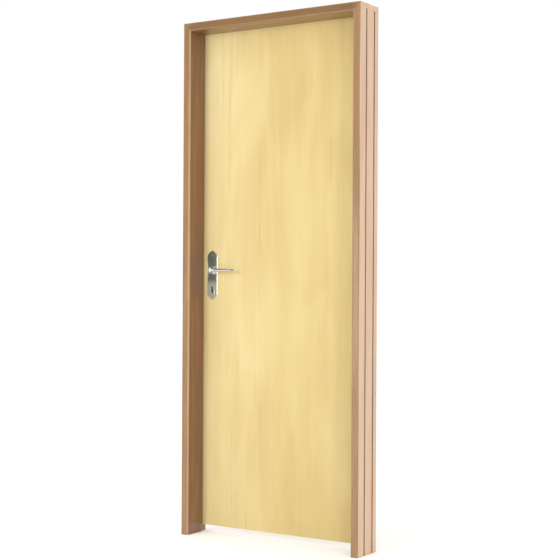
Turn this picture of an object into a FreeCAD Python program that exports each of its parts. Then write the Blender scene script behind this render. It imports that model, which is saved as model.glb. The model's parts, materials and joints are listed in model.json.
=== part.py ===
import FreeCAD, Part
import math
import os

import Sketcher
from FreeCAD import Placement, Rotation, Vector

# Flush hollow core door in its rebated wooden frame, in millimetres.
# X runs across the door and Z up. The side with the deep reveal is at low Y, and the leaf
# closes flush with the other side. The origin is on the hinge jamb's outer face, at the floor.

doc = FreeCAD.newDocument("flush_door")
sizes = doc.addObject("Spreadsheet::Sheet", "Sizes")
layout = doc.addObject("App::VarSet", "Layout")

DRIVING_SIZES = {
    # Leaf and the gaps round it
    "leaf_width": 800,
    "leaf_height": 2100,
    "leaf_thickness": 35,
    "hinge_gap": 3,
    "latch_gap": 6.5,
    "head_gap": 5,
    "stop_gap": 5,
    "floor_gap": 30,
    "skin_thickness": 3,
    "stile_width": 35,
    "rail_height": 60,
    # Frame section
    "frame_depth": 145,
    "jamb_thickness": 35,
    "rebate_depth": 12,
    "inner_arris": 8,
    "outer_arris": 5,
    "mitre_depth": 12,
    "head_lap": 22,
    "groove_width": 9,
    "groove_depth": 6,
    "front_groove": 52,
    "back_groove": 115,
    # Core
    "core_columns": 5,
    "core_cell_height": 330,
    "core_bond_length": 60,
    "paper_thickness": 1,
    # Hinges
    "hinge_height": 100,
    "flap_width": 30,
    "flap_thickness": 2.5,
    "pin_offset": 7.5,
    "pin_radius": 3,
    "knuckle_radius": 6,
    "knuckle_clearance": 0.3,
    "pin_clearance": 0.05,
    "pin_proud": 0.8,
    "top_hinge_drop": 150,
    "bottom_hinge_rise": 225,
    # Lock
    "lever_height": 1117,
    "backset": 50,
    "key_drop": 84,
    "key_slot_width": 8,
    "key_slot_height": 28,
    "case_depth": 78,
    "case_thickness": 15,
    "case_above": 42,
    "case_below": 40,
    "fore_end_width": 22,
    "fore_end_height": 230,
    "fore_end_thickness": 3,
    "bolt_length": 34,
    "latch_bolt_thickness": 12,
    "latch_bolt_height": 20,
    "latch_bevel": 8,
    "dead_bolt_thickness": 13,
    "dead_bolt_height": 32,
    "dead_bolt_rise": 26,
    "lock_clearance": 0.3,
    "strike_width": 24,
    "strike_height": 150,
    "strike_thickness": 2,
    "strike_pocket_depth": 15,
    "strike_hole_margin": 2,
    "block_width": 110,
    "block_height": 360,
    # Furniture
    "plate_height": 209,
    "plate_width": 52,
    "plate_drop": 21,
    "plate_thickness": 4,
    "plate_arch": 22,
    "plate_arch_radius": 45,
    "plate_edge": 1.6,
    "hub_radius": 18,
    "hub_height": 3,
    "field_width": 26,
    "field_height": 40,
    "field_arch": 24,
    "field_rise": 1.2,
    "neck_radius": 9,
    "neck_clearance": 0.3,
    "spindle_width": 8,
    "spindle_clearance": 0.1,
    "spindle_hole_radius": 7,
    "socket_depth": 18,
    "collar_gap": 0.5,
    "collar_height": 2.5,
    "collar_radius": 15.5,
    "lever_reach": 36,
    "lever_bend": 40,
    "lever_length": 138,
    "root_height": 28,
    "root_depth": 25,
    "arm_height": 13.2,
    "arm_depth": 10.8,
    "arm_bevel_share": 0.5,
    "tip_height": 8.4,
    "tip_depth": 7.4,
}

DERIVED_SIZES = {
    "seat": "Sizes.jamb_thickness - Sizes.rebate_depth",
    "hinge_edge": "-(Layout.seat + Sizes.hinge_gap)",
    "latch_edge": "Layout.hinge_edge - Sizes.leaf_width",
    "latch_seat": "Layout.latch_edge - Sizes.latch_gap",
    "outer_edge": "Layout.latch_seat - Layout.seat",
    "leaf_bottom": "Sizes.floor_gap",
    "leaf_top": "Layout.leaf_bottom + Sizes.leaf_height",
    "head_seat": "Layout.leaf_top + Sizes.head_gap",
    "head_underside": "Layout.head_seat - Sizes.rebate_depth",
    "frame_top": "Layout.head_seat + Layout.seat",
    "housing_top": "Layout.frame_top - Sizes.head_lap",
    "front": "-Sizes.frame_depth / 2",
    "back": "Sizes.frame_depth / 2",
    "leaf_front": "Layout.back - Sizes.leaf_thickness",
    "leaf_middle": "Layout.back - Sizes.leaf_thickness / 2",
    "stop_back": "Layout.leaf_front - Sizes.stop_gap",
    "core_front": "Layout.leaf_front + Sizes.skin_thickness",
    "core_back": "Layout.back - Sizes.skin_thickness",
    "pin_x": "-(Layout.seat + Sizes.hinge_gap / 2)",
    "pin_y": "Layout.back + Sizes.pin_offset",
    "top_hinge": "Layout.leaf_top - Sizes.top_hinge_drop - Sizes.hinge_height",
    "bottom_hinge": "Layout.leaf_bottom + Sizes.bottom_hinge_rise",
    "middle_hinge": "(Layout.top_hinge + Layout.bottom_hinge) / 2",
    "lever_x": "Layout.latch_edge + Sizes.backset",
    "lever_z": "Sizes.lever_height",
    "key_z": "Layout.lever_z - Sizes.key_drop",
    "dead_bolt_z": "Layout.key_z + Sizes.dead_bolt_rise",
    "case_top": "Layout.lever_z + Sizes.case_above",
    "case_bottom": "Layout.key_z - Sizes.case_below",
    "case_middle": "(Layout.case_top + Layout.case_bottom) / 2",
    "case_face": "Layout.latch_edge + Sizes.fore_end_thickness",
    "case_end": "Layout.case_face + Sizes.case_depth",
    "plate_z": "Layout.lever_z - Sizes.plate_drop",
    "hub_top": "Sizes.plate_thickness + Sizes.hub_height",
    "collar_base": "Layout.hub_top + Sizes.collar_gap",
    "collar_top": "Layout.collar_base + Sizes.collar_height",
}

HINGES = ("top", "middle", "bottom")
KNUCKLES = 5

# A lever's bend follows a quarter of an oval, from this angle to the level arm.
BEND_START = 30
BEND_STEPS = 5
# The arm beyond the bend: each station's share of the remaining length and of the taper.
# The last one bevels the tip.
LEVER_ARM = ((0.0, 0.0), (0.97, 1.0), (1.0, 1.5))

# Door furniture is drawn flat, with Z out of the leaf's face, and turned up onto that face.
FRONT_TURN = Rotation(Vector(1, 0, 0), 90)
BACK_TURN = Rotation(Vector(1, 0, 0), -90)


def fill_sheet():
    """Writes the driving sizes as plain numbers, each under its own alias."""
    for row, (alias, number) in enumerate(DRIVING_SIZES.items(), start=1):
        sizes.set(f"A{row}", alias)
        sizes.set(f"B{row}", str(number))
        sizes.setAlias(f"B{row}", alias)
    doc.recompute()


def fill_layout():
    """Works out the places that several pieces share."""
    for name, formula in DERIVED_SIZES.items():
        layout.addProperty("App::PropertyFloat", name, "Places", "")
        layout.setExpression(name, formula)
    doc.recompute()


def value(formula):
    """Gives the number that a formula has now."""
    return float(sizes.evalExpression(str(formula)))


def new_body(label):
    body = doc.addObject("PartDesign::Body", label)
    body.Label = label
    return body


def place(body, turn=Rotation(), **formulas):
    """Turns a body and binds the place of its own origin: x, y and z are formulas."""
    body.Placement = Placement(Vector(), turn)
    for axis, formula in formulas.items():
        body.setExpression(f".Placement.Base.{axis}", formula)


def new_sketch(body, name, role, offset="0"):
    """Adds a sketch on one of the body's origin planes, moved along the plane's normal."""
    plane = next(item for item in body.Origin.OriginFeatures if item.Role == role)
    sketch = body.newObject("Sketcher::SketchObject", name)
    sketch.AttachmentSupport = [(plane, "")]
    sketch.MapMode = "FlatFace"
    sketch.setExpression(".AttachmentOffset.Base.z", offset)
    return sketch


def bind_point(sketch, geometry, end, across, along):
    """Ties one point of the sketch to a pair of formulas."""
    for kind, formula in (("DistanceX", across), ("DistanceY", along)):
        constraint = Sketcher.Constraint(kind, -1, 1, geometry, end, value(formula))
        index = sketch.addConstraint(constraint)
        sketch.setExpression(f"Constraints[{index}]", str(formula))


def bind_radius(sketch, geometry, formula):
    index = sketch.addConstraint(Sketcher.Constraint("Radius", geometry, value(formula)))
    sketch.setExpression(f"Constraints[{index}]", str(formula))


def polygon(sketch, corners):
    """Draws a closed outline through corners, each a pair of formulas."""
    points = [Vector(value(across), value(along), 0) for across, along in corners]
    first = sketch.GeometryCount
    count = len(points)
    for index, start in enumerate(points):
        sketch.addGeometry(Part.LineSegment(start, points[(index + 1) % count]), False)
    for index, (across, along) in enumerate(corners):
        following = first + (index + 1) % count
        sketch.addConstraint(Sketcher.Constraint("Coincident", first + index, 2, following, 1))
        bind_point(sketch, first + index, 1, across, along)


def rectangle(sketch, left, right, low, high):
    polygon(sketch, [(left, low), (right, low), (right, high), (left, high)])


def circle(sketch, across, along, radius):
    centre = Vector(value(across), value(along), 0)
    index = sketch.addGeometry(Part.Circle(centre, Vector(0, 0, 1), value(radius)), False)
    bind_point(sketch, index, 3, across, along)
    bind_radius(sketch, index, radius)


def slot(sketch, across, along, half_width, half_height):
    """Draws an upright slot with round ends about a centre."""
    straight = f"({half_height} - ({half_width}))"
    x, y = value(across), value(along)
    radius, rise = value(half_width), value(straight)
    up, down = Vector(x, y + rise, 0), Vector(x, y - rise, 0)
    top = sketch.addGeometry(
        Part.ArcOfCircle(Part.Circle(up, Vector(0, 0, 1), radius), 0, math.pi), False
    )
    left = sketch.addGeometry(
        Part.LineSegment(up + Vector(-radius, 0, 0), down + Vector(-radius, 0, 0)), False
    )
    bottom = sketch.addGeometry(
        Part.ArcOfCircle(Part.Circle(down, Vector(0, 0, 1), radius), math.pi, 2 * math.pi), False
    )
    right = sketch.addGeometry(
        Part.LineSegment(down + Vector(radius, 0, 0), up + Vector(radius, 0, 0)), False
    )
    ring = (top, left, bottom, right)
    for index, current in enumerate(ring):
        following = ring[(index + 1) % len(ring)]
        sketch.addConstraint(Sketcher.Constraint("Tangent", current, 2, following, 1))
    bind_point(sketch, top, 3, across, f"{along} + {straight}")
    bind_point(sketch, bottom, 3, across, f"{along} - {straight}")
    bind_radius(sketch, top, half_width)


def bowed_outline(sketch, corners, radius):
    """Draws a closed outline with straight sides and sides bowed outwards, anticlockwise.

    Each corner is a pair of formulas and whether the side that starts there is bowed.
    """
    count = len(corners)
    for index, (across, along, bowed) in enumerate(corners):
        following = corners[(index + 1) % count]
        start = Vector(value(across), value(along), 0)
        end = Vector(value(following[0]), value(following[1]), 0)
        if not bowed:
            sketch.addGeometry(Part.LineSegment(start, end), False)
            continue
        chord = end - start
        inward = Vector(-chord.y, chord.x, 0).normalize()
        bulge = value(radius) - math.sqrt(value(radius) ** 2 - chord.Length ** 2 / 4)
        sketch.addGeometry(Part.Arc(start, (start + end) / 2 - inward * bulge, end), False)
    for index, (across, along, bowed) in enumerate(corners):
        sketch.addConstraint(
            Sketcher.Constraint("Coincident", index, 2, (index + 1) % count, 1)
        )
        bind_point(sketch, index, 1, across, along)
        if bowed:
            bind_radius(sketch, index, radius)


def pad(body, sketch, name, length, reverse=False):
    feature = body.newObject("PartDesign::Pad", name)
    feature.Profile = sketch
    feature.Reversed = reverse
    feature.setExpression("Length", length)
    doc.recompute()
    return feature


def pocket(body, sketch, name, length, reverse=False):
    """Cuts a sketch into the body, and stops if nothing was cut."""
    before = body.Shape.Volume
    feature = body.newObject("PartDesign::Pocket", name)
    feature.Profile = sketch
    feature.Reversed = reverse
    feature.setExpression("Length", length)
    doc.recompute()
    if feature.Shape.Volume >= before:
        raise ValueError(f"{body.Label}: {name} cuts nothing")
    return feature


def edge_names(shape, wanted):
    """Lists the edges whose middle point passes a test."""
    names = []
    for index, edge in enumerate(shape.Edges, start=1):
        middle = edge.valueAt((edge.FirstParameter + edge.LastParameter) / 2)
        if wanted(edge, middle):
            names.append(f"Edge{index}")
    return names


def dress(body, base, kind, name, size, wanted):
    """Rounds or bevels the edges of the last feature that pass a test."""
    feature = body.newObject(f"PartDesign::{kind}", name)
    feature.Base = (base, edge_names(base.Shape, wanted))
    feature.setExpression("Radius" if kind == "Fillet" else "Size", size)
    doc.recompute()
    return feature


# Frame


def jamb_section(outer, inward, front="Layout.front", grooves=()):
    """Lists the corners of an upright's rebated section, from a front face backwards.

    outer is the formula of its outer face, and inward is + or -, the way to the doorway.
    """
    seat = f"{outer} {inward} Layout.seat"
    inner = f"{outer} {inward} Sizes.jamb_thickness"
    floor = f"{outer} {inward} Sizes.groove_depth"
    corners = [(outer, front)]
    for groove in grooves:
        near = f"Layout.front + {groove} - Sizes.groove_width / 2"
        far = f"Layout.front + {groove} + Sizes.groove_width / 2"
        corners += [(outer, near), (floor, near), (floor, far), (outer, far)]
    return corners + [
        (outer, "Layout.back"),
        (seat, "Layout.back"),
        (seat, "Layout.stop_back"),
        (inner, "Layout.stop_back"),
        (inner, front),
    ]


def round_arrises(body, base, label, axis, inner, outer):
    """Rounds the two front arrises that run straight at given heights along x or z."""
    front = value("Layout.front")
    for side, size, place_of in (
        ("inner", "Sizes.inner_arris", value(inner)),
        ("outer", "Sizes.outer_arris", value(outer)),
    ):
        base = dress(
            body, base, "Fillet", f"{label}_{side}_arris", size,
            lambda edge, middle, there=place_of:
                abs(getattr(middle, axis) - there) < 0.01 and abs(middle.y - front) < 0.01,
        )
    return base


def make_jamb(label, outer, inward):
    """Makes one upright with two long grooves in its outer face.

    Its face is mitred to the head, and the rest of its top is housed in the head.
    """
    body = new_body(label)
    inner = f"{outer} {inward} Sizes.jamb_thickness"
    grooves = ("Sizes.front_groove", "Sizes.back_groove")
    plan = new_sketch(body, f"{label}_plan", "XY_Plane")
    polygon(plan, jamb_section(outer, inward, grooves=grooves))
    upright = pad(body, plan, f"{label}_length", "Layout.frame_top")
    round_arrises(body, upright, label, "x", inner, outer)
    mitre = new_sketch(body, f"{label}_mitre_outline", "XZ_Plane", "-Layout.front")
    polygon(mitre, [
        (inner, "Layout.head_underside"), (outer, "Layout.frame_top"),
        (inner, "Layout.frame_top"),
    ])
    pocket(body, mitre, f"{label}_mitre", "Sizes.mitre_depth")
    top = new_sketch(
        body, f"{label}_top_outline", "XZ_Plane", "-(Layout.front + Sizes.mitre_depth)"
    )
    polygon(top, [
        (inner, "Layout.housing_top"), (outer, "Layout.housing_top"),
        (outer, "Layout.frame_top"), (inner, "Layout.frame_top"),
    ])
    pocket(body, top, f"{label}_top", "Sizes.frame_depth - Sizes.mitre_depth")
    return body


def make_hinge_jamb():
    """The jamb with its outer face on the origin, let in for the three hinge flaps."""
    body = make_jamb("hinge_jamb", "0", "-")
    recess = new_sketch(body, "flap_recesses", "YZ_Plane", "-Layout.seat")
    for hinge in HINGES:
        low = f"Layout.{hinge}_hinge"
        rectangle(
            recess, "Layout.back - Sizes.flap_width", "Layout.back",
            low, f"{low} + Sizes.hinge_height",
        )
    pocket(body, recess, "flap_mortises", "Sizes.flap_thickness", reverse=True)


def make_latch_jamb():
    """The jamb that the lock closes into, with the strike let in and two bolt pockets."""
    body = make_jamb("latch_jamb", "Layout.outer_edge", "+")
    recess = new_sketch(body, "strike_recess", "YZ_Plane", "Layout.latch_seat")
    strike_outline(recess)
    pocket(body, recess, "strike_mortise", "Sizes.strike_thickness")
    holes = new_sketch(body, "bolt_pocket_outlines", "YZ_Plane", "Layout.latch_seat")
    strike_holes(holes)
    pocket(body, holes, "bolt_pockets", "Sizes.strike_pocket_depth")


def strike_outline(sketch):
    rectangle(
        sketch,
        "Layout.leaf_middle - Sizes.strike_width / 2",
        "Layout.leaf_middle + Sizes.strike_width / 2",
        "Layout.case_middle - Sizes.strike_height / 2",
        "Layout.case_middle + Sizes.strike_height / 2",
    )


def strike_holes(sketch):
    """Draws the two holes that the latch bolt and the dead bolt enter."""
    bolt_outline(sketch, "latch_bolt", "Layout.lever_z", "Sizes.strike_hole_margin")
    bolt_outline(sketch, "dead_bolt", "Layout.dead_bolt_z", "Sizes.strike_hole_margin")


def bolt_outline(sketch, bolt, height, margin):
    """Draws a bolt's end, larger by a margin all round."""
    half_width = f"(Sizes.{bolt}_thickness / 2 + {margin})"
    half_height = f"(Sizes.{bolt}_height / 2 + {margin})"
    rectangle(
        sketch,
        f"Layout.leaf_middle - {half_width}", f"Layout.leaf_middle + {half_width}",
        f"{height} - {half_height}", f"{height} + {half_height}",
    )


def make_head_jamb():
    """The cross piece: mitred to both uprights in front, housing them behind, and rebated."""
    body = new_body("head_jamb")
    outline = new_sketch(body, "head_end", "YZ_Plane", "Layout.outer_edge")
    rectangle(outline, "Layout.front", "Layout.back", "Layout.head_underside", "Layout.frame_top")
    bar = pad(body, outline, "head_length", "-Layout.outer_edge")
    round_arrises(body, bar, "head", "z", "Layout.head_underside", "Layout.frame_top")
    rebate = new_sketch(body, "rebate_plan", "XY_Plane", "Layout.head_underside")
    rectangle(rebate, "Layout.latch_seat", "-Layout.seat", "Layout.stop_back", "Layout.back")
    pocket(body, rebate, "rebate", "Sizes.rebate_depth", reverse=True)
    mitres = new_sketch(body, "mitre_outlines", "XZ_Plane", "-Layout.front")
    housings = new_sketch(body, "housing_plan", "XY_Plane", "Layout.head_underside")
    for outer, inward in (("0", "-"), ("Layout.outer_edge", "+")):
        polygon(mitres, [
            (outer, "Layout.head_underside"), (outer, "Layout.frame_top"),
            (f"{outer} {inward} Sizes.jamb_thickness", "Layout.head_underside"),
        ])
        polygon(housings, jamb_section(outer, inward, "Layout.front + Sizes.mitre_depth"))
    pocket(body, mitres, "mitres", "Sizes.mitre_depth")
    depth = "Layout.housing_top - Layout.head_underside"
    pocket(body, housings, "housings", depth, reverse=True)


def make_strike_plate():
    body = new_body("strike_plate")
    outline = new_sketch(body, "strike_plate_outline", "YZ_Plane", "Layout.latch_seat")
    strike_outline(outline)
    strike_holes(outline)
    pad(body, outline, "strike_sheet", "Sizes.strike_thickness", reverse=True)


# Hinges


def knuckle_span(knuckle):
    """Gives the low and high ends of one knuckle, with running clearance between knuckles."""
    pitch = f"Sizes.hinge_height / {KNUCKLES}"
    low = "0" if knuckle == 0 else f"{pitch} * {knuckle} + Sizes.knuckle_clearance / 2"
    high = "Sizes.hinge_height"
    if knuckle < KNUCKLES - 1:
        high = f"{pitch} * {knuckle + 1} - Sizes.knuckle_clearance / 2"
    return low, high


def make_flap(label, own_knuckles, side, hinge):
    """Makes one flap of a butt hinge, in a frame whose Z axis is the pin.

    side is + for the flap in the frame and - for the one in the leaf.
    """
    body = new_body(label)
    face = f"{side}(Sizes.hinge_gap / 2)"
    sheet = new_sketch(body, f"{label}_outline", "YZ_Plane", face)
    edge = "-(Sizes.pin_offset + Sizes.flap_width)"
    root = "-(Sizes.knuckle_radius + 2 * Sizes.knuckle_clearance)"
    corners = [(edge, "Sizes.hinge_height"), (edge, "0")]
    if 0 not in own_knuckles:
        corners.append((root, "0"))
    for knuckle in own_knuckles:
        low, high = knuckle_span(knuckle)
        if knuckle > 0:
            corners.append((root, low))
        corners += [("0", low), ("0", high)]
        if knuckle < KNUCKLES - 1:
            corners.append((root, high))
    if KNUCKLES - 1 not in own_knuckles:
        corners.append((root, "Sizes.hinge_height"))
    polygon(sheet, corners)
    pad(body, sheet, f"{label}_sheet", "Sizes.flap_thickness", reverse=side == "-")
    for knuckle in own_knuckles:
        low, high = knuckle_span(knuckle)
        ring = new_sketch(body, f"{label}_ring_{knuckle}", "XY_Plane", low)
        circle(ring, "0", "0", "Sizes.knuckle_radius")
        pad(body, ring, f"{label}_knuckle_{knuckle}", f"{high} - ({low})")
    bore = new_sketch(body, f"{label}_bore_outline", "XY_Plane")
    circle(bore, "0", "0", "Sizes.pin_radius + Sizes.pin_clearance")
    pocket(body, bore, f"{label}_bore", "Sizes.hinge_height", reverse=True)
    place_hinge(body, hinge)


def make_pin(hinge):
    """Makes the fixed pin of a hinge, a little proud of the knuckles at both ends."""
    body = new_body(f"{hinge}_hinge_pin")
    end = new_sketch(body, f"{hinge}_pin_end", "XY_Plane", "-Sizes.pin_proud")
    circle(end, "0", "0", "Sizes.pin_radius")
    pad(body, end, f"{hinge}_pin_rod", "Sizes.hinge_height + 2 * Sizes.pin_proud")
    place_hinge(body, hinge)


def place_hinge(body, hinge):
    place(body, x="Layout.pin_x", y="Layout.pin_y", z=f"Layout.{hinge}_hinge")


def make_hinges():
    """Makes the three butt hinges of five knuckles each."""
    for hinge in HINGES:
        make_flap(f"{hinge}_hinge_frame_flap", range(0, KNUCKLES, 2), "+", hinge)
        make_flap(f"{hinge}_hinge_leaf_flap", range(1, KNUCKLES, 2), "-", hinge)
        make_pin(hinge)


# Leaf


def make_skin(label, face):
    """Makes one face sheet, with holes for the spindle and the key."""
    body = new_body(label)
    outline = new_sketch(body, f"{label}_outline", "XZ_Plane", f"-({face})")
    rectangle(
        outline, "Layout.latch_edge", "Layout.hinge_edge", "Layout.leaf_bottom", "Layout.leaf_top",
    )
    lock_holes(outline)
    pad(body, outline, f"{label}_sheet", "Sizes.skin_thickness", reverse=True)
    return body


def make_back_skin():
    """The face sheet on the hinge side, notched where the leaf flaps pass its edge."""
    body = make_skin("back_skin", "Layout.core_back")
    notches = new_sketch(body, "flap_notches", "XZ_Plane", "-Layout.core_back")
    for hinge in HINGES:
        low = f"Layout.{hinge}_hinge"
        rectangle(
            notches, "Layout.hinge_edge - Sizes.flap_thickness", "Layout.hinge_edge",
            low, f"{low} + Sizes.hinge_height",
        )
    pocket(body, notches, "flap_notch_cuts", "Sizes.skin_thickness")


def lock_holes(sketch):
    """Draws the spindle hole and the square-cornered key opening behind the plates."""
    circle(sketch, "Layout.lever_x", "Layout.lever_z", "Sizes.spindle_hole_radius")
    half_width, half_height = "Sizes.key_slot_width / 2", "Sizes.key_slot_height / 2"
    rectangle(
        sketch,
        f"Layout.lever_x - {half_width}", f"Layout.lever_x + {half_width}",
        f"Layout.key_z - {half_height}", f"Layout.key_z + {half_height}",
    )


def make_leaf_bar(label, left, right, low, high):
    """Makes one solid bar of the leaf's inner frame."""
    body = new_body(label)
    outline = new_sketch(body, f"{label}_outline", "XZ_Plane", "-Layout.core_front")
    rectangle(outline, left, right, low, high)
    pad(body, outline, f"{label}_bar", "Layout.core_back - Layout.core_front", reverse=True)
    return body


def make_hinge_stile():
    """The upright of the leaf that the hinge flaps are let into."""
    body = make_leaf_bar(
        "hinge_stile", "Layout.hinge_edge - Sizes.stile_width", "Layout.hinge_edge",
        "Layout.leaf_bottom", "Layout.leaf_top",
    )
    recess = new_sketch(body, "leaf_flap_recesses", "YZ_Plane", "Layout.hinge_edge")
    for hinge in HINGES:
        low = f"Layout.{hinge}_hinge"
        rectangle(
            recess, "Layout.back - Sizes.flap_width", "Layout.core_back",
            low, f"{low} + Sizes.hinge_height",
        )
    pocket(body, recess, "leaf_flap_mortises", "Sizes.flap_thickness")


def make_latch_stile():
    """The upright of the leaf that the lock is let into from its edge."""
    body = make_leaf_bar(
        "latch_stile", "Layout.latch_edge", "Layout.latch_edge + Sizes.stile_width",
        "Layout.leaf_bottom", "Layout.leaf_top",
    )
    recess = new_sketch(body, "fore_end_recess", "YZ_Plane", "Layout.latch_edge")
    fore_end_outline(recess)
    pocket(body, recess, "fore_end_mortise", "Sizes.fore_end_thickness", reverse=True)
    mortise = new_sketch(body, "case_mortise_outline", "YZ_Plane", "Layout.latch_edge")
    case_outline(mortise, "Sizes.lock_clearance")
    pocket(body, mortise, "case_mortise", "Sizes.stile_width", reverse=True)


def fore_end_outline(sketch):
    rectangle(
        sketch,
        "Layout.leaf_middle - Sizes.fore_end_width / 2",
        "Layout.leaf_middle + Sizes.fore_end_width / 2",
        "Layout.case_middle - Sizes.fore_end_height / 2",
        "Layout.case_middle + Sizes.fore_end_height / 2",
    )


def case_outline(sketch, margin):
    rectangle(
        sketch,
        f"Layout.leaf_middle - Sizes.case_thickness / 2 - {margin}",
        f"Layout.leaf_middle + Sizes.case_thickness / 2 + {margin}",
        f"Layout.case_bottom - {margin}",
        f"Layout.case_top + {margin}",
    )


def make_rails():
    """Makes the top and bottom bars between the stiles."""
    left = "Layout.latch_edge + Sizes.stile_width"
    right = "Layout.hinge_edge - Sizes.stile_width"
    make_leaf_bar(
        "bottom_rail", left, right, "Layout.leaf_bottom", "Layout.leaf_bottom + Sizes.rail_height"
    )
    make_leaf_bar(
        "top_rail", left, right, "Layout.leaf_top - Sizes.rail_height", "Layout.leaf_top"
    )


def make_lock_block():
    """The block glued behind the latch stile, mortised for the lock case."""
    left = "Layout.latch_edge + Sizes.stile_width"
    body = make_leaf_bar(
        "lock_block", left, f"{left} + Sizes.block_width",
        "Layout.case_middle - Sizes.block_height / 2",
        "Layout.case_middle + Sizes.block_height / 2",
    )
    mortise = new_sketch(body, "block_mortise_outline", "YZ_Plane", left)
    case_outline(mortise, "Sizes.lock_clearance")
    pocket(
        body, mortise, "block_mortise",
        f"Layout.case_end + Sizes.lock_clearance - ({left})", reverse=True,
    )
    holes = new_sketch(body, "block_holes", "XZ_Plane", "-Layout.core_front")
    lock_holes(holes)
    pocket(
        body, holes, "block_through_holes", "Layout.core_back - Layout.core_front",
    )


def make_honeycomb_core():
    """Makes the paper honeycomb that fills the leaf between its bars.

    Each paper strip zigzags from bottom to top, and is bonded to its neighbours where both run
    straight. The strips are cut away round the lock block.
    """
    left = value("Layout.latch_edge + Sizes.stile_width")
    right = value("Layout.hinge_edge - Sizes.stile_width")
    low = value("Layout.leaf_bottom + Sizes.rail_height")
    high = value("Layout.leaf_top - Sizes.rail_height")
    front = value("Layout.core_front")
    depth = value("Layout.core_back - Layout.core_front")
    paper = value("Sizes.paper_thickness")
    bond = value("Sizes.core_bond_length")
    columns = int(value("Sizes.core_columns"))
    cells = max(1, round((high - low) / value("Sizes.core_cell_height")))
    pitch = (high - low) / cells
    column_width = (right - left) / columns
    swing = (column_width - paper) / 2
    strips = []
    for column in range(columns):
        middle = left + (column + 0.5) * column_width
        lean = 1 if column % 2 else -1
        line = []
        for cell in range(cells):
            base = low + cell * pitch
            half = pitch / 2
            line += [
                (middle + lean * swing, base),
                (middle + lean * swing, base + bond / 2),
                (middle - lean * swing, base + half - bond / 2),
                (middle - lean * swing, base + half + bond / 2),
                (middle + lean * swing, base + pitch - bond / 2),
            ]
        line.append((middle + lean * swing, high))
        near = [Vector(x - paper / 2, front, z) for x, z in line]
        far = [Vector(x + paper / 2, front, z) for x, z in reversed(line)]
        outline = Part.makePolygon(near + far + near[:1])
        strips.append(Part.Face(outline).extrude(Vector(0, depth, 0)))
    comb = strips[0].fuse(strips[1:]).removeSplitter()
    block_left = value("Layout.latch_edge + Sizes.stile_width")
    block_low = value("Layout.case_middle - Sizes.block_height / 2")
    clearing = Part.makeBox(
        value("Sizes.block_width"), depth, value("Sizes.block_height"),
        Vector(block_left, front, block_low),
    )
    core = doc.addObject("Part::Feature", "honeycomb_core")
    core.Label = "honeycomb_core"
    core.Shape = comb.cut(clearing)


# Lock


def make_lock_case():
    """The steel case in the mortise, with room for both bolts and holes for spindle and key."""
    body = new_body("lock_case")
    outline = new_sketch(body, "case_section", "YZ_Plane", "Layout.case_face")
    case_outline(outline, "0")
    pad(body, outline, "case_box", "Sizes.case_depth")
    bolts = new_sketch(body, "bolt_channels", "YZ_Plane", "Layout.case_face")
    bolt_outline(bolts, "latch_bolt", "Layout.lever_z", "Sizes.lock_clearance")
    bolt_outline(bolts, "dead_bolt", "Layout.dead_bolt_z", "Sizes.lock_clearance")
    pocket(
        body, bolts, "bolt_room",
        "Sizes.bolt_length - Sizes.fore_end_thickness + Sizes.lock_clearance", reverse=True,
    )
    holes = new_sketch(
        body, "case_holes", "XZ_Plane", "-(Layout.leaf_middle - Sizes.case_thickness / 2)"
    )
    lock_holes(holes)
    pocket(body, holes, "case_through_holes", "Sizes.case_thickness")


def make_fore_end():
    """The plate let into the edge of the leaf, which the bolts pass through."""
    body = new_body("lock_fore_end")
    outline = new_sketch(body, "fore_end_sheet_outline", "YZ_Plane", "Layout.latch_edge")
    fore_end_outline(outline)
    bolt_outline(outline, "latch_bolt", "Layout.lever_z", "Sizes.lock_clearance")
    bolt_outline(outline, "dead_bolt", "Layout.dead_bolt_z", "Sizes.lock_clearance")
    pad(body, outline, "fore_end_sheet", "Sizes.fore_end_thickness")


def make_bolt(bolt, height):
    """Makes one bolt, drawn back so that its nose is level with the fore-end."""
    body = new_body(bolt)
    outline = new_sketch(body, f"{bolt}_section", "YZ_Plane", "Layout.latch_edge")
    bolt_outline(outline, bolt, height, "0")
    return body, pad(body, outline, f"{bolt}_bar", "Sizes.bolt_length")


def make_latch_bolt():
    """The sprung bolt, with the slope on its nose that meets the strike first."""
    body, bar = make_bolt("latch_bolt", "Layout.lever_z")
    nose = value("Layout.latch_edge")
    leading = value("Layout.leaf_middle - Sizes.latch_bolt_thickness / 2")
    dress(
        body, bar, "Chamfer", "latch_slope", "Sizes.latch_bevel",
        lambda edge, middle: abs(middle.x - nose) < 0.01 and abs(middle.y - leading) < 0.01,
    )


# Furniture


def plate_outline(sketch):
    """Draws the long plate: straight sides and a pointed arch at each end."""
    half = "Sizes.plate_width / 2"
    tip = "Sizes.plate_height / 2"
    shoulder = f"({tip} - Sizes.plate_arch)"
    bowed_outline(sketch, [
        (half, f"-{shoulder}", False),
        (half, shoulder, True),
        ("0", tip, True),
        (f"-{half}", shoulder, False),
        (f"-{half}", f"-{shoulder}", True),
        ("0", f"-{tip}", True),
    ], "Sizes.plate_arch_radius")


def field_outline(sketch, key_height):
    """Draws the raised field round the key slot: square below, a pointed arch above."""
    half = "Sizes.field_width / 2"
    low = f"{key_height} - Sizes.field_height / 2"
    high = f"{key_height} + Sizes.field_height / 2"
    shoulder = f"{high} - Sizes.field_arch"
    bowed_outline(sketch, [
        (half, low, False),
        (half, shoulder, True),
        ("0", high, True),
        (f"-{half}", shoulder, False),
        (f"-{half}", low, False),
    ], "Sizes.plate_arch_radius")


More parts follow.
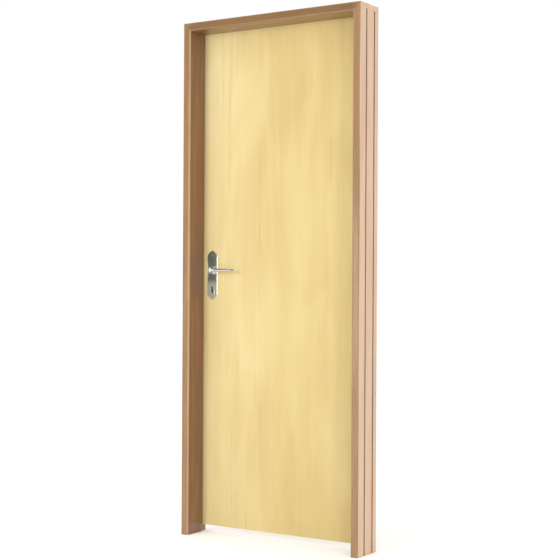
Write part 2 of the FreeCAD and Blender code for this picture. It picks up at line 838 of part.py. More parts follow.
def make_escutcheon(label, turn, up, face):
    """Makes one long plate with a hub for the lever and a raised field for the key.

    up is + or -, the way along the flat drawing's Y that is up once it is turned.
    """
    body = new_body(label)
    outline = new_sketch(body, f"{label}_outline", "XY_Plane")
    plate_outline(outline)
    plate = pad(body, outline, f"{label}_sheet", "Sizes.plate_thickness")
    outer = value("Sizes.plate_thickness")
    dress(
        body, plate, "Chamfer", f"{label}_edge", "Sizes.plate_edge",
        lambda edge, middle: abs(middle.z - outer) < 0.01,
    )
    lever_height = f"{up}Sizes.plate_drop"
    key_height = f"{up}(Sizes.plate_drop - Sizes.key_drop)"
    hub = new_sketch(body, f"{label}_hub_outline", "XY_Plane", "Sizes.plate_thickness")
    circle(hub, "0", lever_height, "Sizes.hub_radius")
    pad(body, hub, f"{label}_hub", "Sizes.hub_height")
    field = new_sketch(body, f"{label}_field_outline", "XY_Plane", "Sizes.plate_thickness")
    field_outline(field, key_height)
    pad(body, field, f"{label}_field", "Sizes.field_rise")
    holes = new_sketch(body, f"{label}_holes", "XY_Plane")
    circle(holes, "0", lever_height, "Sizes.neck_radius + Sizes.neck_clearance")
    slot(holes, "0", key_height, "Sizes.key_slot_width / 2", "Sizes.key_slot_height / 2")
    pocket(body, holes, f"{label}_through_holes", "Layout.hub_top", reverse=True)
    place(body, turn, x="Layout.lever_x", y=face, z="Layout.plate_z")


def bend_station(step):
    """Gives a station's shares of the bend's run and rise, its lean, and its extra girth."""
    part = step / BEND_STEPS
    angle = BEND_START + part * (90 - BEND_START)
    first, turned = math.radians(BEND_START), math.radians(angle)
    run = 1 - math.cos(turned) / math.cos(first)
    climb = (math.sin(turned) - math.sin(first)) / (1 - math.sin(first))
    lean = angle * (1 - (1 - part) ** 3)
    girth = (1 - part) ** 2.2
    return round(run, 4), round(climb, 4), lean, round(girth, 4)


def lever_section(body, name, along, rise, lean, depth, height):
    """Adds one bevelled section of a lever, square to the way its middle line runs there."""
    section = new_sketch(body, name, "XY_Plane")
    section.AttachmentOffset = Placement(Vector(), Rotation(Vector(0, 1, 0), lean))
    section.setExpression(".AttachmentOffset.Base.x", along)
    section.setExpression(".AttachmentOffset.Base.z", rise)
    wide, high = f"({depth}) / 2", f"({height}) / 2"
    inner_wide = f"{wide} * (1 - Sizes.arm_bevel_share)"
    inner_high = f"({high} - {wide} * Sizes.arm_bevel_share)"
    polygon(section, [
        (wide, f"-{inner_high}"), (wide, inner_high),
        (inner_wide, high), (f"-{inner_wide}", high),
        (f"-{wide}", inner_high), (f"-{wide}", f"-{inner_high}"),
        (f"-{inner_wide}", f"-{high}"), (inner_wide, f"-{high}"),
    ])
    return section


def lever_sections(body, label):
    """Makes the sections from inside the collar, round the bend, and along the arm."""
    start = "(Layout.collar_base + Sizes.collar_height / 2)"
    sections = []
    for number in range(BEND_STEPS):
        run, climb, lean, girth = bend_station(number)
        sections.append(lever_section(
            body, f"{label}_bend_{number}",
            f"{run} * Sizes.lever_bend",
            f"{start} + {climb} * (Sizes.lever_reach - {start})",
            lean,
            f"Sizes.arm_depth + {girth} * (Sizes.root_depth - Sizes.arm_depth)",
            f"Sizes.arm_height + {girth} * (Sizes.root_height - Sizes.arm_height)",
        ))
    for number, (run, taper) in enumerate(LEVER_ARM):
        sections.append(lever_section(
            body, f"{label}_arm_{number}",
            f"Sizes.lever_bend + {run} * (Sizes.lever_length - Sizes.lever_bend)",
            "Sizes.lever_reach",
            90,
            f"Sizes.arm_depth - {taper} * (Sizes.arm_depth - Sizes.tip_depth)",
            f"Sizes.arm_height - {taper} * (Sizes.arm_height - Sizes.tip_height)",
        ))
    return sections


def make_lever(label, turn, face):
    """Makes one lever: neck, collar, and a bevelled arm that swans out to the hinge side."""
    body = new_body(label)
    neck = new_sketch(body, f"{label}_neck_outline", "XY_Plane")
    circle(neck, "0", "0", "Sizes.neck_radius")
    pad(body, neck, f"{label}_neck", "Layout.collar_top")
    collar = new_sketch(body, f"{label}_collar_outline", "XY_Plane", "Layout.collar_base")
    circle(collar, "0", "0", "Sizes.collar_radius")
    pad(body, collar, f"{label}_collar", "Sizes.collar_height")
    sections = lever_sections(body, label)
    arm = body.newObject("PartDesign::AdditiveLoft", f"{label}_arm")
    arm.Profile = sections[0]
    arm.Sections = sections[1:]
    arm.Ruled = True
    doc.recompute()
    socket = new_sketch(body, f"{label}_socket_outline", "XY_Plane")
    half = "(Sizes.spindle_width / 2 + Sizes.spindle_clearance)"
    rectangle(socket, f"-{half}", half, f"-{half}", half)
    pocket(body, socket, f"{label}_socket", "Sizes.socket_depth", reverse=True)
    place(body, turn, x="Layout.lever_x", y=face, z="Layout.lever_z")


def make_spindle():
    """The square bar that joins the two levers through the lock."""
    body = new_body("spindle")
    room = "(Sizes.socket_depth - Sizes.lock_clearance)"
    section = new_sketch(body, "spindle_section", "XZ_Plane", f"-(Layout.leaf_front - {room})")
    half = "Sizes.spindle_width / 2"
    rectangle(
        section, f"Layout.lever_x - {half}", f"Layout.lever_x + {half}",
        f"Layout.lever_z - {half}", f"Layout.lever_z + {half}",
    )
    pad(body, section, "spindle_bar", f"Sizes.leaf_thickness + 2 * {room}", reverse=True)


def make_furniture():
    """Makes the plates and levers on both faces, and the spindle between them."""
    make_escutcheon("front_escutcheon", FRONT_TURN, "", "Layout.leaf_front")
    make_escutcheon("back_escutcheon", BACK_TURN, "-", "Layout.back")
    make_lever("front_lever", FRONT_TURN, "Layout.leaf_front")
    make_lever("back_lever", BACK_TURN, "Layout.back")
    make_spindle()


def check_and_write():
    """Stops on any failed object, then writes one file for each piece."""
    doc.recompute()
    for item in doc.Objects:
        if any(state in item.State for state in ("Invalid", "Error")):
            raise ValueError(f"{item.Label} failed: {item.State}")
    pieces = [
        item for item in doc.Objects
        if item.TypeId in ("PartDesign::Body", "Part::Feature")
    ]
    for piece in pieces:
        if piece.Shape.isNull() or not piece.Shape.isValid():
            raise ValueError(f"{piece.Label} has no sound shape")
    os.makedirs("parts", exist_ok=True)
    for piece in pieces:
        piece.Shape.exportStep(f"parts/{piece.Label}.step")
        box = piece.Shape.BoundBox
        print(
            f"{piece.Label}: {len(piece.Shape.Solids)} solid, {piece.Shape.Volume / 1000:.1f} cm3,"
            f" X {box.XMin:.1f}..{box.XMax:.1f} Y {box.YMin:.1f}..{box.YMax:.1f}"
            f" Z {box.ZMin:.1f}..{box.ZMax:.1f}"
        )


def main():
    fill_sheet()
    fill_layout()
    make_hinge_jamb()
    make_latch_jamb()
    make_head_jamb()
    make_strike_plate()
    make_hinges()
    make_skin("front_skin", "Layout.leaf_front")
    make_back_skin()
    make_hinge_stile()
    make_latch_stile()
    make_rails()
    make_lock_block()
    make_honeycomb_core()
    make_lock_case()
    make_fore_end()
    make_latch_bolt()
    make_bolt("dead_bolt", "Layout.dead_bolt_z")
    make_furniture()
    check_and_write()


main()
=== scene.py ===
"""Looks of a flush hollow core door: finishes, eased arrises, levers, screws and stage."""

import json
import logging
import math
from dataclasses import dataclass, field
from enum import Enum
from typing import Sequence, Union

import bmesh
import bpy
from bpy.types import Material, Mesh, NodeSocket, NodeTree, Object
from mathutils import Matrix, Vector

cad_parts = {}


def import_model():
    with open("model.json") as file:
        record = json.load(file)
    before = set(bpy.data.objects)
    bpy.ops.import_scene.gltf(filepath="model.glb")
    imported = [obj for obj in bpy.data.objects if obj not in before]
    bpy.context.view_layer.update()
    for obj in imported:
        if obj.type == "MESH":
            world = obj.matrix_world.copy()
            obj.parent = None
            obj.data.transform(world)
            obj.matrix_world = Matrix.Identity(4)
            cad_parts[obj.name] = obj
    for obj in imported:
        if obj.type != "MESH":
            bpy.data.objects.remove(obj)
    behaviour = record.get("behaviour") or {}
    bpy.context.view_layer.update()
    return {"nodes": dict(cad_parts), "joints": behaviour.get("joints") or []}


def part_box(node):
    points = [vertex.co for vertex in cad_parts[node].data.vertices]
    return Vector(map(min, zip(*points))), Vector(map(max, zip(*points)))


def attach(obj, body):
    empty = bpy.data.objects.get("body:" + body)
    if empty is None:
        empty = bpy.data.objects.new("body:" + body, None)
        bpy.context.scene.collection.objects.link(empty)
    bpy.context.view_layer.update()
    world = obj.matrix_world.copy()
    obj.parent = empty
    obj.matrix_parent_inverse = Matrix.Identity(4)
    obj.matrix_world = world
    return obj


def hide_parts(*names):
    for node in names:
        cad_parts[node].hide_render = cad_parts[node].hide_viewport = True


LOG = logging.getLogger("door")

Colour = tuple[float, float, float, float]
Point = tuple[float, float, float]

MM = 0.001
HINGES = ("top", "middle", "bottom")
LEVER_Z = 1117.0 * MM

# The key opening runs through the leaf, and its walls get painted shade. These limits lie just
# outside its walls.
KEY_X = -776.0 * MM
KEY_Z = 1033.0 * MM
KEY_HALF_WIDTH = 4.3 * MM
KEY_HALF_HEIGHT = 14.3 * MM


class Grain(Enum):
    """The axis that a board's grain runs along, by its number."""

    ACROSS = 0
    UP = 2


class Body(Enum):
    """The moving groups of the door."""

    FRAME = "frame"
    LEAF = "leaf"
    LEVERS = "lever_set"


def rgb(red: float, green: float, blue: float) -> Colour:
    """Turns a screen colour into a linear one.

    Args:
        red: The screen colour's red, from 0 to 255.
        green: Its green.
        blue: Its blue.

    Returns:
        The linear colour, fully opaque.
    """

    def linear(level: float) -> float:
        """Undoes the screen's curve for one channel."""
        share = level / 255
        return share / 12.92 if share <= 0.04045 else ((share + 0.055) / 1.055) ** 2.4

    return linear(red), linear(green), linear(blue), 1.0


WHITE = (1.0, 1.0, 1.0, 1.0)
BLACK = (0.0, 0.0, 0.0, 1.0)
# Painted shade on the walls of the key opening.
KEYHOLE_SHADE = rgb(46, 36, 28)


class Wire:
    """An output socket that takes arithmetic like a number."""

    def __init__(self, graph: "Graph", socket: NodeSocket | None) -> None:
        """Wraps a socket of a node tree."""
        self.graph = graph
        self.socket = socket

    def other(self, output: Union[str, int]) -> "Wire":
        """Gives another output of the same node."""
        return Wire(self.graph, self.socket.node.outputs[output])

    def join(self, operation: str, first: "Given", second: "Given" = 0.0) -> "Wire":
        """Joins two values with a Math node."""
        return self.graph.add("ShaderNodeMath", {"operation": operation}, {0: first, 1: second})

    def __add__(self, other: "Given") -> "Wire":
        """Adds a value to this one."""
        return self.join("ADD", self, other)

    def __radd__(self, other: "Given") -> "Wire":
        """Adds this value to another."""
        return self.join("ADD", other, self)

    def __sub__(self, other: "Given") -> "Wire":
        """Takes a value from this one."""
        return self.join("SUBTRACT", self, other)

    def __rsub__(self, other: "Given") -> "Wire":
        """Takes this value from another."""
        return self.join("SUBTRACT", other, self)

    def __mul__(self, other: "Given") -> "Wire":
        """Multiplies this value by another."""
        return self.join("MULTIPLY", self, other)

    def __rmul__(self, other: "Given") -> "Wire":
        """Multiplies another value by this one."""
        return self.join("MULTIPLY", other, self)

    def __truediv__(self, other: "Given") -> "Wire":
        """Divides this value by another."""
        return self.join("DIVIDE", self, other)

    def __rtruediv__(self, other: "Given") -> "Wire":
        """Divides another value by this one."""
        return self.join("DIVIDE", other, self)

    def above(self, limit: "Given") -> "Wire":
        """Gives 1 where the value is above a limit, and 0 elsewhere."""
        return self.join("GREATER_THAN", self, limit)

    def below(self, limit: "Given") -> "Wire":
        """Gives 1 where the value is below a limit, and 0 elsewhere."""
        return self.join("LESS_THAN", self, limit)

    def most(self, other: "Given") -> "Wire":
        """Gives the larger of two values."""
        return self.join("MAXIMUM", self, other)

    def least(self, other: "Given") -> "Wire":
        """Gives the smaller of two values."""
        return self.join("MINIMUM", self, other)

    def size(self) -> "Wire":
        """Gives the value without its sign."""
        return self.join("ABSOLUTE", self)

    def spread(self, low: float, high: float, first: float = 0.0, last: float = 1.0) -> "Wire":
        """Maps one range onto another, and holds the ends.

        Args:
            low: Start of the range that is mapped.
            high: Its end.
            first: What the start becomes.
            last: What the end becomes.

        Returns:
            The mapped value.
        """
        return self.graph.add(
            "ShaderNodeMapRange", {"clamp": True}, {0: self, 1: low, 2: high, 3: first, 4: last}
        )


Given = Union[Wire, float, str, Sequence[float]]


class Graph:
    """Builds a node tree."""

    def __init__(self, tree: NodeTree) -> None:
        """Takes the tree to build in."""
        self.tree = tree

    def add(
        self,
        kind: str,
        settings: dict[str, Union[str, bool]] | None = None,
        inputs: dict[Union[str, int], Given] | None = None,
        output: Union[str, int] = 0,
    ) -> Wire:
        """Adds a node: its settings first, then its sockets.

        Args:
            kind: The node's type.
            settings: Options of the node.
            inputs: Wires or constants by socket name or number.
            output: The output that is wanted.

        Returns:
            The wire from that output.
        """
        node = self.tree.nodes.new(kind)
        for name, option in (settings or {}).items():
            setattr(node, name, option)
        for name, given in (inputs or {}).items():
            self.feed(node.inputs[name], given)
        return Wire(self, node.outputs[output] if node.outputs else None)

    def feed(self, socket: NodeSocket, given: Given) -> None:
        """Links a wire to a socket, or sets a constant on it.

        Args:
            socket: The input socket.
            given: The wire or the constant.
        """
        if isinstance(given, Wire):
            self.tree.links.new(given.socket, socket)
        else:
            socket.default_value = given


class Paint(Graph):
    """A material that ends in one Principled shader.

    Attributes:
        material: The material.
        shader: Its Principled node.
        place: The place on the piece, in metres.
        x: The place along X. y and z are the other two.
    """

    def __init__(self, name: str) -> None:
        """Makes the material with its shader and its coordinates.

        Args:
            name: The material's name.
        """
        self.material = bpy.data.materials.new(name)
        self.material.use_nodes = True
        super().__init__(self.material.node_tree)
        self.tree.nodes.clear()
        surface = self.add("ShaderNodeBsdfPrincipled")
        self.shader = surface.socket.node
        self.add("ShaderNodeOutputMaterial", None, {"Surface": surface})
        self.place = self.add("ShaderNodeTexCoord", output="Object")
        self.x = self.add("ShaderNodeSeparateXYZ", None, {0: self.place})
        self.y = self.x.other(1)
        self.z = self.x.other(2)

    def noise(
        self, scale: Sequence[float], detail: float = 4.0, roughness: float = 0.55,
        warp: float = 0.0, shift: float = 0.0,
    ) -> Wire:
        """Adds a noise over the piece.

        Args:
            scale: Waves per metre along each axis.
            detail: Number of finer layers.
            roughness: Strength of the finer layers.
            warp: Distortion of the noise by itself.
            shift: Moves the noise, so that two layers differ.

        Returns:
            The noise, from about 0.3 to 0.7.
        """
        spot = self.add(
            "ShaderNodeMapping", None,
            {"Vector": self.place, "Scale": scale, "Location": (shift, shift, shift)},
        )
        return self.add(
            "ShaderNodeTexNoise", None,
            {"Vector": spot, "Scale": 1.0, "Detail": detail, "Roughness": roughness,
             "Distortion": warp},
        )

    def keyhole_shade(self) -> Wire:
        """Gives 1 on the walls of the key opening, where shade is painted, and 0 elsewhere."""
        across = (self.x - KEY_X).size().below(KEY_HALF_WIDTH)
        return across * (self.z - KEY_Z).size().below(KEY_HALF_HEIGHT)

    def mix(self, share: Given, first: Given, second: Given, blend: str = "MIX") -> Wire:
        """Mixes two colours.

        Args:
            share: Share of the second colour, from 0 to 1.
            first: The first colour.
            second: The second colour.
            blend: How the second goes over the first.

        Returns:
            The mixed colour.
        """
        return self.add(
            "ShaderNodeMix", {"data_type": "RGBA", "blend_type": blend, "clamp_factor": True},
            {0: share, 6: first, 7: second}, 2,
        )

    def bump(self, height: Given, distance: float) -> None:
        """Lets a height raise the surface.

        Args:
            height: The height, from 0 to 1.
            distance: What a height of 1 comes to, in metres.
        """
        normal = self.add(
            "ShaderNodeBump", None,
            {"Height": height, "Distance": distance, "Strength": 1.0}, "Normal",
        )
        self.set(Normal=normal)

    def set(self, **sockets: Given) -> None:
        """Feeds the shader's sockets: Base_Color stands for Base Color."""
        for name, given in sockets.items():
            self.feed(self.shader.inputs[name.replace("_", " ")], given)


def along(grain: Grain, fine: float, stretch: float) -> Point:
    """Gives noise scales for a grain.

    Args:
        grain: The axis that the grain runs along.
        fine: Waves per metre across the grain.
        stretch: How many times longer a streak is than it is wide.

    Returns:
        Waves per metre along the three axes.
    """
    scale = [fine, fine, fine]
    scale[grain.value] = fine / stretch
    return scale[0], scale[1], scale[2]


@dataclass(frozen=True)
class Timber:
    """Varnished frame timber, raw on the outer faces that go against the wall, with painted light
    and shade.

    Attributes:
        worn_and_highlight: The arrises round the opening, where the varnish is thin.
        inner: Painted shade of the reveal, a tint by which the ground is multiplied.
        half_width: Half the frame's width, half_depth half its depth, and top its height.
        reveal: Depth in from the outer faces where the reveal begins.
        groove: Depth in from the outer faces that the grooves reach.
        top_skin: Depth of the head's bare upper face.
        soak: Distances from the rim between which the varnish ends, and soak_wave how much
            that edge wanders.
        groove_shade_depths: Depths in the groove between which the painted shade deepens, and
        groove_shade_rim the rim that stays unshaded.
        worn: Depth in from the outer faces of the worn arris with its painted highlight,
            wear_highlight_half
        its half width and wear_highlight_rim how far round from the front it goes.
    """

    name: str
    grain: Grain
    varnished: Colour = rgb(152, 117, 76)
    streak: Colour = rgb(133, 98, 60)
    worn_and_highlight: Colour = rgb(196, 160, 122)
    inner: Colour = (0.76, 0.63, 0.72, 1.0)
    raw: Colour = rgb(216, 185, 158)
    raw_streak: Colour = rgb(202, 167, 137)
    pore: Colour = rgb(95, 62, 38)
    groove_shade: Colour = rgb(104, 76, 54)
    half_width: float = 427.75 * MM
    half_depth: float = 72.5 * MM
    top: float = 2158.0 * MM
    reveal: float = 34.9 * MM
    groove: float = 6.5 * MM
    top_skin: float = 0.3 * MM
    soak: tuple[float, float] = (1.5 * MM, 3.5 * MM)
    soak_wave: float = 4.0 * MM
    groove_shade_depths: tuple[float, float] = (0.4 * MM, 3.5 * MM)
    groove_shade_rim: float = 12.0 * MM
    worn: float = 32.5 * MM
    wear_highlight_half: float = 4.5 * MM
    wear_highlight_rim: float = 7.8 * MM
    relief: float = 0.06 * MM

    def build(self) -> Material:
        """Makes the material.

        Returns:
            The material.
        """
        paint = Paint(self.name)
        broad = paint.noise(along(self.grain, 38, 14), detail=3, roughness=0.5, warp=0.6)
        fine = paint.noise(along(self.grain, 520, 45), detail=3, roughness=0.6, shift=3.1)
        pores = paint.noise(along(self.grain, 1500, 30), detail=2, roughness=0.6, shift=7.7)
        blot = paint.noise(along(self.grain, 7, 3), detail=3, roughness=0.5, warp=0.3, shift=2.2)
        figure = (broad * 0.65 + fine * 0.35).spread(0.38, 0.62)

        inward = self.half_width - (paint.x + self.half_width).size()
        rim = self.half_depth - paint.y.size()
        below = self.top - paint.z
        in_groove = inward.below(self.groove)
        wander = (blot - 0.5) * self.soak_wave
        wall_side = in_groove * (rim + wander).spread(*self.soak)
        bare = wall_side.most(below.below(self.top_skin))
        # Painted shade: the grooves darken with depth, away from the front and back rims.
        groove_shade_share = inward.spread(*self.groove_shade_depths) * in_groove * rim.above(self.groove_shade_rim)
        # Worn varnish and painted highlight: a band along the rounded arrises round the opening
        # is lightened.
        arris = (1.0 - (inward.least(below) - self.worn).size() / self.wear_highlight_half).most(0.0)
        wear_and_highlight_share = arris * rim.below(self.wear_highlight_rim) * (0.35 + 0.9 * (fine - 0.3))
        open_pores = pores.spread(0.6, 0.75)

        colour = paint.mix(figure, self.varnished, self.streak)
        colour = paint.mix(blot.spread(0.35, 0.7) * 0.18, colour, self.streak)
        # Painted shade: faces more than reveal in from the outer faces, round the opening and
        # along all but the ends of the head, are darkened by the inner tint.
        colour = paint.mix(inward.above(self.reveal), colour, self.inner, "MULTIPLY")
        colour = paint.mix(wear_and_highlight_share, colour, self.worn_and_highlight)
        raw_share = figure * 0.7 + blot.spread(0.4, 0.65) * 0.3
        colour = paint.mix(bare, colour, paint.mix(raw_share, self.raw, self.raw_streak))
        colour = paint.mix(open_pores * 0.22, colour, self.pore)
        # Painted shade in the grooves.
        colour = paint.mix(groove_shade_share * 0.85, colour, self.groove_shade)
        paint.set(
            Base_Color=colour,
            Roughness=0.34 + 0.1 * figure + 0.32 * bare,
            Coat_Weight=(1.0 - bare) * 0.55,
            Coat_Roughness=0.22,
        )
        paint.bump(1.0 - 0.5 * open_pores - 0.4 * fine, self.relief)
        return paint.material


@dataclass(frozen=True)
class Veneer:
    """Pale satin face of the leaf with faint upright streaks, creamier to the latch by painted
    sheen.

    Attributes:
        latch_sheen: Painted sheen next to the latch, a tint by which the ground is multiplied.
        latch_sheen_from: Where the tint is full along X, and latch_sheen_to where it is gone.
    """

    name: str
    ground: Colour = rgb(204, 184, 128)
    cloud: Colour = rgb(193, 169, 111)
    line: Colour = rgb(168, 140, 92)
    latch_sheen: Colour = (1.15, 1.21, 1.42, 1.0)
    latch_sheen_from: float = -800.0 * MM
    latch_sheen_to: float = -444.0 * MM
    relief: float = 0.05 * MM

    def build(self) -> Material:
        """Makes the material.

        Returns:
            The material.
        """
        paint = Paint(self.name)
        cloud = paint.noise(along(Grain.UP, 7, 3.2), detail=3, roughness=0.45, warp=0.6)
        broad = paint.noise(
            along(Grain.UP, 24, 16), detail=3, roughness=0.5, warp=0.5, shift=9.4
        )
        fine = paint.noise(along(Grain.UP, 300, 70), detail=3, roughness=0.6, shift=1.7)
        lines = paint.noise(along(Grain.UP, 52, 60), detail=3, shift=5.3)
        patch = paint.noise(along(Grain.UP, 9, 2), detail=2, roughness=0.5, shift=12.1)
        figure = (cloud * 0.5 + broad * 0.28 + fine * 0.22).spread(0.38, 0.62)
        crack = lines.spread(0.63, 0.7) * patch.spread(0.5, 0.62)

        colour = paint.mix(figure, self.ground, self.cloud)
        # Painted sheen: the leaf gets paler and creamier towards the latch.
        latch_sheen_share = paint.x.spread(self.latch_sheen_from, self.latch_sheen_to, 1.0, 0.0)
        colour = paint.mix(latch_sheen_share, colour, self.latch_sheen, "MULTIPLY")
        colour = paint.mix(crack * 0.3, colour, self.line)
        # Painted shade on the walls of the key opening.
        colour = paint.mix(paint.keyhole_shade(), colour, KEYHOLE_SHADE)
        paint.set(
            Base_Color=colour,
            Roughness=0.5 + 0.1 * figure,
            Coat_Weight=0.02 + 0.04 * figure,
            Coat_Roughness=0.4,
            Specular_IOR_Level=0.22,
        )
        paint.bump(1.0 - fine * 0.8 - crack * 0.2, self.relief)
        return paint.material


@dataclass(frozen=True)
class Sawn:
    """Bare sawn softwood of the leaf's inner frame."""

    name: str
    grain: Grain
    ground: Colour = rgb(214, 178, 130)
    streak: Colour = rgb(176, 132, 84)
    relief: float = 0.25 * MM

    def build(self) -> Material:
        """Makes the material.

        Returns:
            The material.
        """
        paint = Paint(self.name)
        rings = paint.noise(along(self.grain, 90, 18), warp=0.8)
        fibre = paint.noise(along(self.grain, 900, 14), detail=2, roughness=0.6, shift=2.9)
        figure = (rings * 0.7 + fibre * 0.3).spread(0.36, 0.64)
        colour = paint.mix(figure, self.ground, self.streak)
        # Painted shade on the walls of the key opening.
        paint.set(
            Base_Color=paint.mix(paint.keyhole_shade(), colour, KEYHOLE_SHADE), Roughness=0.72 + 0.14 * fibre
        )
        paint.bump(fibre, self.relief)
        return paint.material


@dataclass(frozen=True)
class Paper:
    """Brown recycled paper of the core."""

    name: str
    ground: Colour = rgb(176, 146, 108)
    speck: Colour = rgb(140, 112, 80)
    relief: float = 0.1 * MM

    def build(self) -> Material:
        """Makes the material.

        Returns:
            The material.
        """
        paint = Paint(self.name)
        fibre = paint.noise((700, 700, 700), roughness=0.65)
        blot = paint.noise((18, 18, 18), detail=2, roughness=0.5, shift=4.2)
        share = (fibre * 0.6 + blot * 0.4).spread(0.38, 0.62)
        paint.set(
            Base_Color=paint.mix(share, self.ground, self.speck), Roughness=0.8 + 0.1 * fibre
        )
        paint.bump(fibre, self.relief)
        return paint.material


@dataclass(frozen=True)
class Metal:
    """A metal with faint wear: finger marks, fine scratches and an uneven polish.

    Attributes:
        polish: Roughness of the clean metal.
        wear: How much rougher the marks are.
        brushed: The axis that it is brushed along, if it is.
    """

    name: str
    ground: Colour
    worn: Colour
    polish: float
    wear: float
    brushed: Grain | None = None
    brushed_relief: float = 0.02 * MM
    plain_relief: float = 0.006 * MM

    def build(self) -> Material:
        """Makes the material.

        Returns:
            The material.
        """
        paint = Paint(self.name)
        blot = paint.noise((38, 38, 38), detail=3, roughness=0.5, warp=0.3)
        marks = paint.noise((330, 330, 330), detail=3, roughness=0.6, shift=6.1)
        scale = along(self.brushed, 3000, 60) if self.brushed else (2200, 2200, 2200)
        brush = paint.noise(scale, detail=2, roughness=0.5, shift=8.8)
        share = (blot * 0.7 + marks * 0.3).spread(0.42, 0.66)
        paint.set(
            Base_Color=paint.mix(share * 0.5 + brush * 0.3, self.ground, self.worn),
            Metallic=1.0,
            Roughness=self.polish + self.wear * (share * 0.5 + marks * 0.5) + 0.06 * brush,
        )
        relief = self.brushed_relief if self.brushed else self.plain_relief
        paint.bump(brush * 0.6 + marks * 0.4, relief)
        return paint.material


class Finishes:
    """Every finish of the door, built once."""

    def __init__(self) -> None:
        """Builds the materials."""
        self.upright = Timber("frame_wood_upright", Grain.UP).build()
        # The head gets a lighter painted shade, and its arris highlight and wear are near its
        # plain varnish.
        self.cross = Timber(
            "frame_wood_cross", Grain.ACROSS, varnished=rgb(142, 109, 62),
            streak=rgb(124, 92, 48), worn_and_highlight=rgb(144, 110, 66), inner=(0.86, 0.78, 0.86, 1.0),
        ).build()
        self.veneer = Veneer("leaf_veneer").build()
        self.sawn_upright = Sawn("core_wood_upright", Grain.UP).build()
        self.sawn_cross = Sawn("core_wood_cross", Grain.ACROSS).build()
        self.paper = Paper("core_paper").build()
        self.hinge = Metal(
            "hinge_steel", rgb(178, 176, 169), rgb(152, 149, 140), polish=0.24, wear=0.14,
            brushed=Grain.UP,
        ).build()
        self.chrome = Metal(
            "furniture_chrome", rgb(205, 205, 198), rgb(180, 180, 170), polish=0.1, wear=0.08
        ).build()
        self.lever = Metal(
            "lever_chrome", rgb(238, 235, 233), rgb(218, 214, 211), polish=0.08, wear=0.06
        ).build()
        self.lock = Metal(
            "lock_steel", rgb(172, 170, 163), rgb(146, 143, 134), polish=0.28, wear=0.16,
            brushed=Grain.UP,
        ).build()


def sharpen(mesh: Mesh, angle: float) -> None:
    """Shades a mesh smooth, with hard edges between faces that turn sharply.

    Args:
        mesh: The mesh.
        angle: The turn from which an edge is hard, in degrees.
    """
    work = bmesh.new()
    work.from_mesh(mesh)
    for face in work.faces:
        face.smooth = True
    for edge in work.edges:
        turned = edge.calc_face_angle(math.pi) if edge.is_manifold else math.pi
        edge.smooth = turned < math.radians(angle)
    work.to_mesh(mesh)
    work.free()


def new_object(name: str, data: bpy.types.ID) -> Object:
    """Puts a mesh, lamp or camera in the scene as an object at the origin.

    Args:
        name: The object's name.
        data: What it holds.

    Returns:
        The object.
    """
    obj = bpy.data.objects.new(name, data)
    bpy.context.scene.collection.objects.link(obj)
    return obj


def baked(obj: Object) -> Object:
    """Turns an object's modifiers into plain mesh.

    Args:
        obj: The object.

    Returns:
        The same object, without modifiers.
    """
    graph = bpy.context.evaluated_depsgraph_get()
    mesh = bpy.data.meshes.new_from_object(obj.evaluated_get(graph))
    old = obj.data
    obj.modifiers.clear()
    obj.data = mesh
    bpy.data.meshes.remove(old)
    mesh.name = obj.name
    return obj


def skin(work: bmesh.types.BMesh, rings: list[list[bmesh.types.BMVert]]) -> None:
    """Joins rings of as many points each into a tube with closed ends.

    Args:
        work: The mesh that the rings are in.
        rings: The rings, in order.
    """
    for near, far in zip(rings, rings[1:]):
        for index in range(len(near)):
            following = (index + 1) % len(near)
            work.faces.new((near[index], near[following], far[following], far[index]))
    work.faces.new(rings[0])
    work.faces.new(rings[-1])


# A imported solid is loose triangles. Points closer than WELD are one point, faces that turn by
# less than FLAT degrees are one face, and edges that turn by more than EASE_FROM are eased.
WELD = 0.02 * MM
FLAT = 0.6
EASE_FROM = 30.0
# How much the large faces lead the shading of a corner, from 1 to 100.
FLAT_WEIGHT = 90


